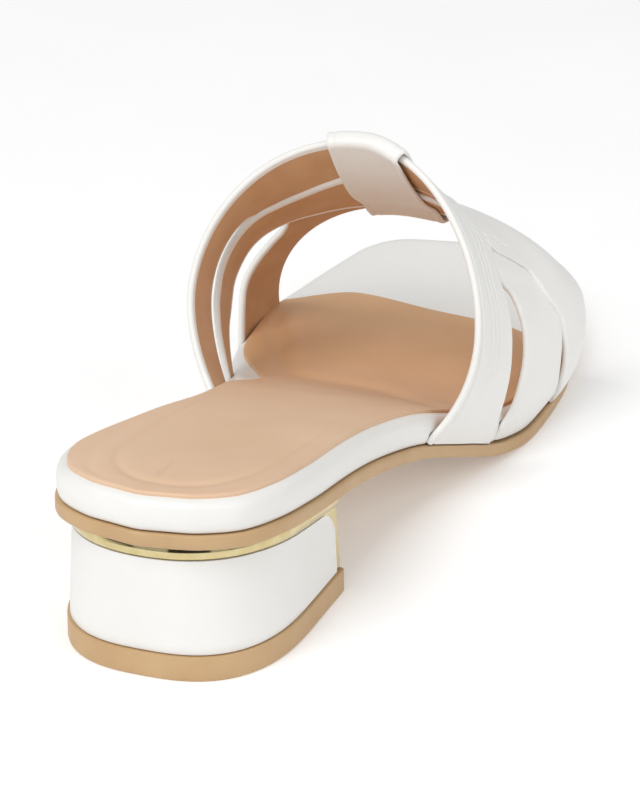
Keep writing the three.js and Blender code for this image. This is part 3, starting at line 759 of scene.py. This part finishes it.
arounds = np.union1d(np.linspace(-1, 1, 261), np.linspace(0.29, 0.45, 81))
arounds = np.union1d(arounds, np.linspace(-0.42, -0.26, 65))
loops, zones = band_loops(
    arounds, lambda a: 0 * a, rear_front, 0, STRAP_WALL, rolled_edge, open_edge, 60,
    margins=(1.2, 0.6), relief=rear_relief,
)
strap("strap_rear", loops, zones, (white_leather, lining_leather))
loops, zones = band_loops(
    arounds, front_rear, lambda a: 0 * a + 1, 0, STRAP_WALL, open_edge, rolled_edge, 40,
    margins=(0.6, 0.1), relief=front_relief,
)
strap("strap_front", loops, zones, (white_leather, lining_leather))
face = middle_depth(arounds[:, None])
loops, zones = band_loops(
    arounds, middle_rear, middle_front, face, MIDDLE_DEPTH + MIDDLE_WALL + 0 * face,
    rolled_edge, rolled_edge, 60, margins=(1.0, 1.0), relief=middle_relief,
)
strap("strap_middle", loops, zones, (white_leather, lining_leather))


# Footbed
# A padded board wrapped in the same white leather. The wrap rounds over the upper edge, is
# pulled tight under the board and leaves a fine dark line above the outsole.

FOOTBED_WALL = 6.2
FOOTBED_ROUND = 2.0
BED_FOOT = OUTSOLE_THICK + GAP
BED_SHOULDER = BED_FOOT + FOOTBED_WALL
BED_TOP = BED_SHOULDER + FOOTBED_ROUND
bed_rings = [sole_ring(2.5, BED_FOOT, share) for share in (1, 0.9, 0.7, 0.4, 0.15, 0)]
bed_rings += [
    sole_ring(1.6, BED_FOOT), sole_ring(1.1, BED_FOOT + 0.15), sole_ring(0.85, BED_FOOT + 0.5),
    sole_ring(0.6, BED_FOOT + 1.4), sole_ring(0.45, BED_FOOT + 2.6), sole_ring(0.4, BED_FOOT + 3.6),
    sole_ring(0.45, BED_FOOT + 4.8), sole_ring(0.58, BED_SHOULDER - 0.4),
    sole_ring(0.85, BED_SHOULDER + 0.3), sole_ring(1.3, BED_SHOULDER + 0.9),
    sole_ring(1.9, BED_SHOULDER + 1.35), sole_ring(2.7, BED_SHOULDER + 1.7),
    sole_ring(3.7, BED_SHOULDER + 1.9), sole_ring(5, BED_TOP),
]
bed_rings += [sole_ring(5, BED_TOP, share) for share in (0.08, 0.2, 0.35, 0.5, 0.65, 0.8, 0.92, 1)]
bed = rolled_grid("footbed_wrap", bed_rings)


def seat_cutter(rear, front, depth):
    """The strap's space at its feet, wider by the gap and run outwards, to seat it in the bed."""
    cutters = []
    for low, high in ((-1.08, -0.72), (0.72, 1.08)):
        spots = np.linspace(low, high, 40)
        square = lambda a: np.full_like(a, 0.05)
        loops, _ = band_loops(
            spots, lambda a: rear(a) - GAP / MM_ALONG_FOOT, lambda a: front(a) + GAP / MM_ALONG_FOOT,
            -4, depth + GAP, square, square, 12,
        )
        cutter = rolled_grid("seat cutter", loops[::-1])
        bpy.ops.object.mode_set(mode="EDIT")
        bpy.ops.mesh.select_non_manifold()
        bpy.ops.mesh.fill_holes(sides=0)
        bpy.ops.object.mode_set(mode="OBJECT")
        cutters.append(cutter)
    return cutters


def cut_seats(piece, cutters):
    for cutter in cutters:
        bpy.ops.object.select_all(action="DESELECT")
        piece.select_set(True)
        bpy.context.view_layer.objects.active = piece
        cut = piece.modifiers.new("seat", "BOOLEAN")
        cut.operation = "DIFFERENCE"
        cut.object = cutter
        bpy.ops.object.modifier_apply(modifier=cut.name)


seat_cutters = seat_cutter(lambda a: 0 * a, rear_front, STRAP_WALL)
seat_cutters += seat_cutter(front_rear, lambda a: 0 * a + 1, STRAP_WALL)
seat_cutters += seat_cutter(middle_rear, middle_front, MIDDLE_DEPTH + MIDDLE_WALL)
cut_seats(bed, seat_cutters)
finish_piece(bed, white_leather, ["footbed"])


# Insole sock
# Nude leather over thin foam, glued on the footbed and pressed with a double line round the
# heel and one behind the ball of the foot. It ends in an arc short of the toe.

SOCK_RISE = 0.75  # how far the sock stands above the footbed
SOCK_INSET = 3.0
SOCK_FRONT = table(
    "x y", (-60, 178), (-40, 194), (-22, 204), (0, 200.5), (22, 197.5), (40, 186), (60, 170)
)
WAIST_AT, WAIST_HALF, WAIST_DEPTH = 132, 30, 7
sock_front = through(SOCK_FRONT, "x", "y")


def sock_loop(inset):
    loop = inset_loop(sole_loop, inset)
    near = np.maximum(0, 1 - np.abs(loop[:, 1] + HEEL_CENTRE - WAIST_AT) / WAIST_HALF)
    waist = WAIST_DEPTH * near * near * (3 - 2 * near) * (loop[:, 0] < middle_x(loop[:, 1]))
    loop[:, 0] += waist
    limit = sock_front(loop[:, 0]) - HEEL_CENTRE - (inset - SOCK_INSET)
    loop[:, 1] = np.minimum(loop[:, 1], limit)
    return loop


# Rear edge of the ball's padding, where the pressed line runs
BALL_LINE = table(
    "x y", (-44, 166), (-38, 151), (-34.5, 142), (-30, 133), (-24.5, 122), (-18, 114.8), (-10, 113.6),
    (2, 113.4), (11, 109), (22, 99), (32, 90), (44, 82),
)
ball_line = through(BALL_LINE, "x", "y")
RING_X, RING_Y, RING_HALF, RING_BACK = 2, 6, 17.6, 26.5


def sock_relief(x, y):
    """Height of the pressed lines and the padding, above the sock's plain surface."""
    back = np.minimum(y - RING_Y, 0) / RING_BACK
    side = (x - RING_X) / RING_HALF
    radius = (np.abs(side) ** 2.3 + np.abs(back) ** 2.3) ** (1 / 2.3)
    ring = (radius - 1) * RING_HALF
    ahead = 1 - smooth_step(18, 62, y)
    lines = groove(ring, 1.0, 0.5) * ahead + groove(ring - 5.6, 1.3, 0.3) * (1 - smooth_step(0, 40, y))
    slope = ball_line(x + 0.5) - ball_line(x - 0.5)
    ball = (y - ball_line(x)) / np.sqrt(1 + slope ** 2)
    padding = 0.5 * smooth_step(0, 7, ball) - 0.55 * np.exp(-(ball / 2.6) ** 2)
    return padding - lines


def sock_ring(inset, rise, share=0.0, carved=False):
    loop = drawn_in(sock_loop(inset), share, SPINE_LOW, 146, middle_x)
    ring = raised(loop, lambda y: underside(y) + rise)
    if carved:
        inside = smooth_step(0.02, 0.12, np.full(len(ring), share))
        ring[:, 2] += sock_relief(ring[:, 0], ring[:, 1]) * inside
    return ring


# Aniline-finished nude leather: matt, warm, with fine pores, and painted shade towards the ball
nude_leather, tree, shader, place = new_material("nude sock leather")
spot = add_node(tree, "ShaderNodeSeparateXYZ", {"Vector": place})
# Painted shade and painted warm bounce light: from y 50 to 130 mm the colour shifts to a darker, browner
# pair, for the straps' shade on the ball and the tan lining's warm light
ball_shade_ramp = add_node(
    tree, "ShaderNodeMapRange", {"Value": spot.outputs["Y"], "From Min": 0.05, "From Max": 0.13}
)
ball_shade_mix = add_node(tree, "ShaderNodeMixRGB", {
    "Fac": ball_shade_ramp.outputs["Result"],
    "Color1": blotched(tree, place, "#e2c1a2", "#debb9b", 25),
    "Color2": blotched(tree, place, "#d8ab80", "#d2a477", 25),
})
tree.links.new(ball_shade_mix.outputs["Color"], shader.inputs["Base Color"])
shader.inputs["Roughness"].default_value = 0.52
pores = add_node(tree, "ShaderNodeTexVoronoi", {"Vector": place, "Scale": per_mm(0.9)})
bump = add_node(
    tree, "ShaderNodeBump", {"Height": pores.outputs["Distance"], "Strength": 0.1, "Distance": 0.0002}
)
tree.links.new(bump.outputs["Normal"], shader.inputs["Normal"])

sock_foot = BED_TOP - 0.6
sock_top = BED_TOP + SOCK_RISE
sock_rings = [sock_ring(SOCK_INSET + 1, sock_foot, share) for share in (1, 0.8, 0.5, 0.2, 0)]
sock_rings += [
    sock_ring(SOCK_INSET, sock_foot), sock_ring(SOCK_INSET, sock_top - 0.7),
    sock_ring(SOCK_INSET + 0.05, sock_top - 0.35), sock_ring(SOCK_INSET + 0.25, sock_top - 0.1),
]
sock_rings += [sock_ring(SOCK_INSET + 0.6, sock_top, share, carved=True) for share in np.linspace(0, 1, 70)]
sock = rolled_grid("insole_sock_leather", sock_rings)
cut_seats(sock, seat_cutters)
finish_piece(sock, nude_leather, ["insole_sock"])
for cutter in seat_cutters:
    bpy.data.objects.remove(cutter)


# Instep band
# One strip of white leather folded round the three straps on the ridge of the instep. Its end
# is turned under along the front, which leaves a narrow lip on the underside.

TAB_WALL = 1
TAB_WIDTH = 21
TAB_GAP = 0.1  # between the band and the straps
ALONG_MILLIMETRE = 1 / 42
TAB_FLARE = 4  # how much the outer layer widens towards the toe, on each side
FRONT_FOLD = 0.45  # the fold at the toe end is pressed flatter than the rear one
FOLD_SQUARE = 0.72  # under 1 the folds are squarer than a half circle
TAB_LIP = 2  # width of the turned end and of the turned sides


def tab_around(side, along, half):
    """around for a place across the band, so that the band keeps its width along the instep."""
    outer = side > 0
    wide_outer = section_curves["outer_wide"](along) * HALF_BALL - INSTEP_X
    wide_inner = section_curves["inner_wide"](along) * HALF_BALL + INSTEP_X
    wide = np.where(outer, wide_outer, wide_inner)
    fullness = np.where(outer, section_curves["outer_round"](along), section_curves["inner_round"](along))
    angle = np.arcsin((half * np.abs(side) / wide) ** (fullness / 2))
    return np.sign(side) * WIDEST * angle / (math.pi / 2)


tab_outside = -TAB_GAP
tab_inside = MIDDLE_DEPTH + MIDDLE_WALL + TAB_GAP
tab_middle = (tab_outside + tab_inside) / 2
tab_reach = (tab_inside - tab_outside) / 2
run = np.linspace(0, 1, 100)
bend = np.linspace(0, math.pi, 30)[1:-1]
path_along = np.concatenate([run, 0 * bend + 1, run[::-1], 0 * bend])
path_turn = np.concatenate([0 * run, bend, 0 * run + math.pi, math.pi + bend])
edge_turn = np.linspace(-math.pi / 2, math.pi / 2, 9)[1:-1]
across = np.linspace(-1, 1, 61)
TAB_EDGE = TAB_WALL / 2
edge_share = TAB_EDGE / (TAB_WIDTH / 2)
flat_share = across * (1 - edge_share)
tab_side = np.concatenate([
    flat_share, 1 - edge_share + edge_share * np.cos(edge_turn),
    flat_share[::-1], -1 + edge_share - edge_share * np.cos(edge_turn),
])
side_seam = groove(np.abs(flat_share) * TAB_WIDTH / 2 - (TAB_WIDTH / 2 - TAB_LIP), 0.3, 0.16)
tab_grow = np.concatenate([
    0 * across, TAB_EDGE + TAB_EDGE * np.sin(edge_turn),
    TAB_WALL - side_seam, TAB_EDGE - TAB_EDGE * np.sin(edge_turn),
])
outer_face = np.concatenate([0 * across, 0 * edge_turn, 0 * across + 1, 0 * edge_turn])
tab_loops = []
for along, turn in zip(path_along, path_turn):
    above = (1 + math.cos(turn)) / 2
    half = TAB_WIDTH / 2 + TAB_FLARE * smooth_step(0.1, 1, along) * above
    end_seam = groove((1 - along) / ALONG_MILLIMETRE - TAB_LIP, 0.3, 0.2) * outer_face
    radius = tab_reach + tab_grow - end_seam
    pressed = FRONT_FOLD if along > 0.5 else 1
    swing, lift = math.sin(turn), math.cos(turn)
    swing = math.copysign(abs(swing) ** FOLD_SQUARE, swing)
    lift = math.copysign(abs(lift) ** FOLD_SQUARE, lift)
    push = along + swing * radius * ALONG_MILLIMETRE * pressed
    around = tab_around(tab_side, np.full_like(tab_side, along), half)
    tab_loops.append(wall_point(push, around, tab_middle - radius * lift))
tab = rolled_grid("instep_band", np.array(tab_loops)[::-1], closed=True)
finish_piece(tab, white_leather, ["centre_tab"], smooth_deg=60)


# Studio
# A pale floor without a seam, a large soft light above and to the left of the camera, a weaker
# one to its right, and the camera at the photograph's angle, framed on the one shoe. Its place,
# angles and focal length were fitted by a program to the sole's and heel's edges.

PHOTO_WIDTH, PHOTO_HEIGHT = 640, 812
CAMERA_PLACE = Vector((0.3265, -0.7618, 0.4293))
CAMERA_AZIMUTH = math.radians(23.844)
CAMERA_ELEVATION = math.radians(23.684)
PHOTO_FOCAL = 2148.9  # focal length in the photograph's pixels
SHOE_AT = (415, 428)  # middle of the shoe in the photograph, in pixels
CLOSER = 1.85

back = Vector((
    math.sin(CAMERA_AZIMUTH) * math.cos(CAMERA_ELEVATION),
    -math.cos(CAMERA_AZIMUTH) * math.cos(CAMERA_ELEVATION),
    math.sin(CAMERA_ELEVATION),
))
right = Vector((math.cos(CAMERA_AZIMUTH), math.sin(CAMERA_AZIMUTH), 0))
up = back.cross(right)
aim = (
    -back * PHOTO_FOCAL + right * (SHOE_AT[0] - PHOTO_WIDTH / 2) + up * (PHOTO_HEIGHT / 2 - SHOE_AT[1])
).normalized()
camera_data = bpy.data.cameras.new("camera")
camera = bpy.data.objects.new("camera", camera_data)
bpy.context.collection.objects.link(camera)
camera.location = CAMERA_PLACE
camera.rotation_mode = "QUATERNION"
camera.rotation_quaternion = aim.to_track_quat("-Z", "Y")
camera_data.sensor_width = 36
camera_data.lens = camera_data.sensor_width * PHOTO_FOCAL * CLOSER / PHOTO_HEIGHT
camera_data.clip_start = 0.01
camera_data.clip_end = 50
bpy.context.scene.camera = camera

bpy.ops.object.select_all(action="DESELECT")
bpy.ops.mesh.primitive_plane_add(size=12)
floor = bpy.context.object
floor.name = "floor"
paper, tree, shader, place = new_material("white seamless paper")
tree.links.new(blotched(tree, place, "#f0f0f0", "#eeeeee", 60), shader.inputs["Base Color"])
shader.inputs["Roughness"].default_value = 0.9
shader.inputs["Emission Color"].default_value = (1, 1, 1, 1)
shader.inputs["Emission Strength"].default_value = 0.22
floor.data.materials.append(paper)

world = bpy.data.worlds.new("studio")
bpy.context.scene.world = world
world.use_nodes = True
world.node_tree.nodes["Background"].inputs["Color"].default_value = (1, 1, 1, 1)
world.node_tree.nodes["Background"].inputs["Strength"].default_value = 0.5


def softbox(name, place_m, size_m, watts, target=(0, 0.08, 0.03)):
    light = bpy.data.lights.new(name, "AREA")
    light.size = size_m
    light.energy = watts
    lamp = bpy.data.objects.new(name, light)
    bpy.context.collection.objects.link(lamp)
    lamp.location = place_m
    lamp.rotation_mode = "QUATERNION"
    lamp.rotation_quaternion = (Vector(target) - Vector(place_m)).to_track_quat("-Z", "Y")
    return lamp


softbox("key", -right * 0.6 + back * 0.85 + Vector((0, 0, 0.95)), 1.0, 16)
softbox("fill", right * 1.1 + back * 0.8 + Vector((0, 0, 0.5)), 1.2, 5)

# Dark cards round the heel, just above the floor, so that the polished band has something to mirror
card_black, tree, shader, place = new_material("black card")
tree.links.new(blotched(tree, place, "#141312", "#0e0d0c", 40), shader.inputs["Base Color"])
shader.inputs["Roughness"].default_value = 0.9
CARD_FROM_HEEL = 0.7
CARD_FOOT, CARD_HEAD = 0.06, 0.26
for number, (start_deg, end_deg) in enumerate(((-53, -24), (5, 50), (70, 92))):
    middle = math.radians((start_deg + end_deg) / 2)
    width = 2 * CARD_FROM_HEEL * math.tan(math.radians(end_deg - start_deg) / 2)
    out = Vector((math.sin(middle), -math.cos(middle), 0)) * CARD_FROM_HEEL
    bpy.ops.object.select_all(action="DESELECT")
    bpy.ops.mesh.primitive_plane_add(
        size=1, location=out + Vector((0, 0, (CARD_FOOT + CARD_HEAD) / 2)),
        rotation=(math.pi / 2, 0, middle),
    )
    card = bpy.context.object
    card.name = f"card_{number + 1}"
    card.scale = (width, CARD_HEAD - CARD_FOOT, 1)
    card.data.materials.append(card_black)
    card.visible_camera = False

bpy.context.scene.view_settings.view_transform = "Standard"
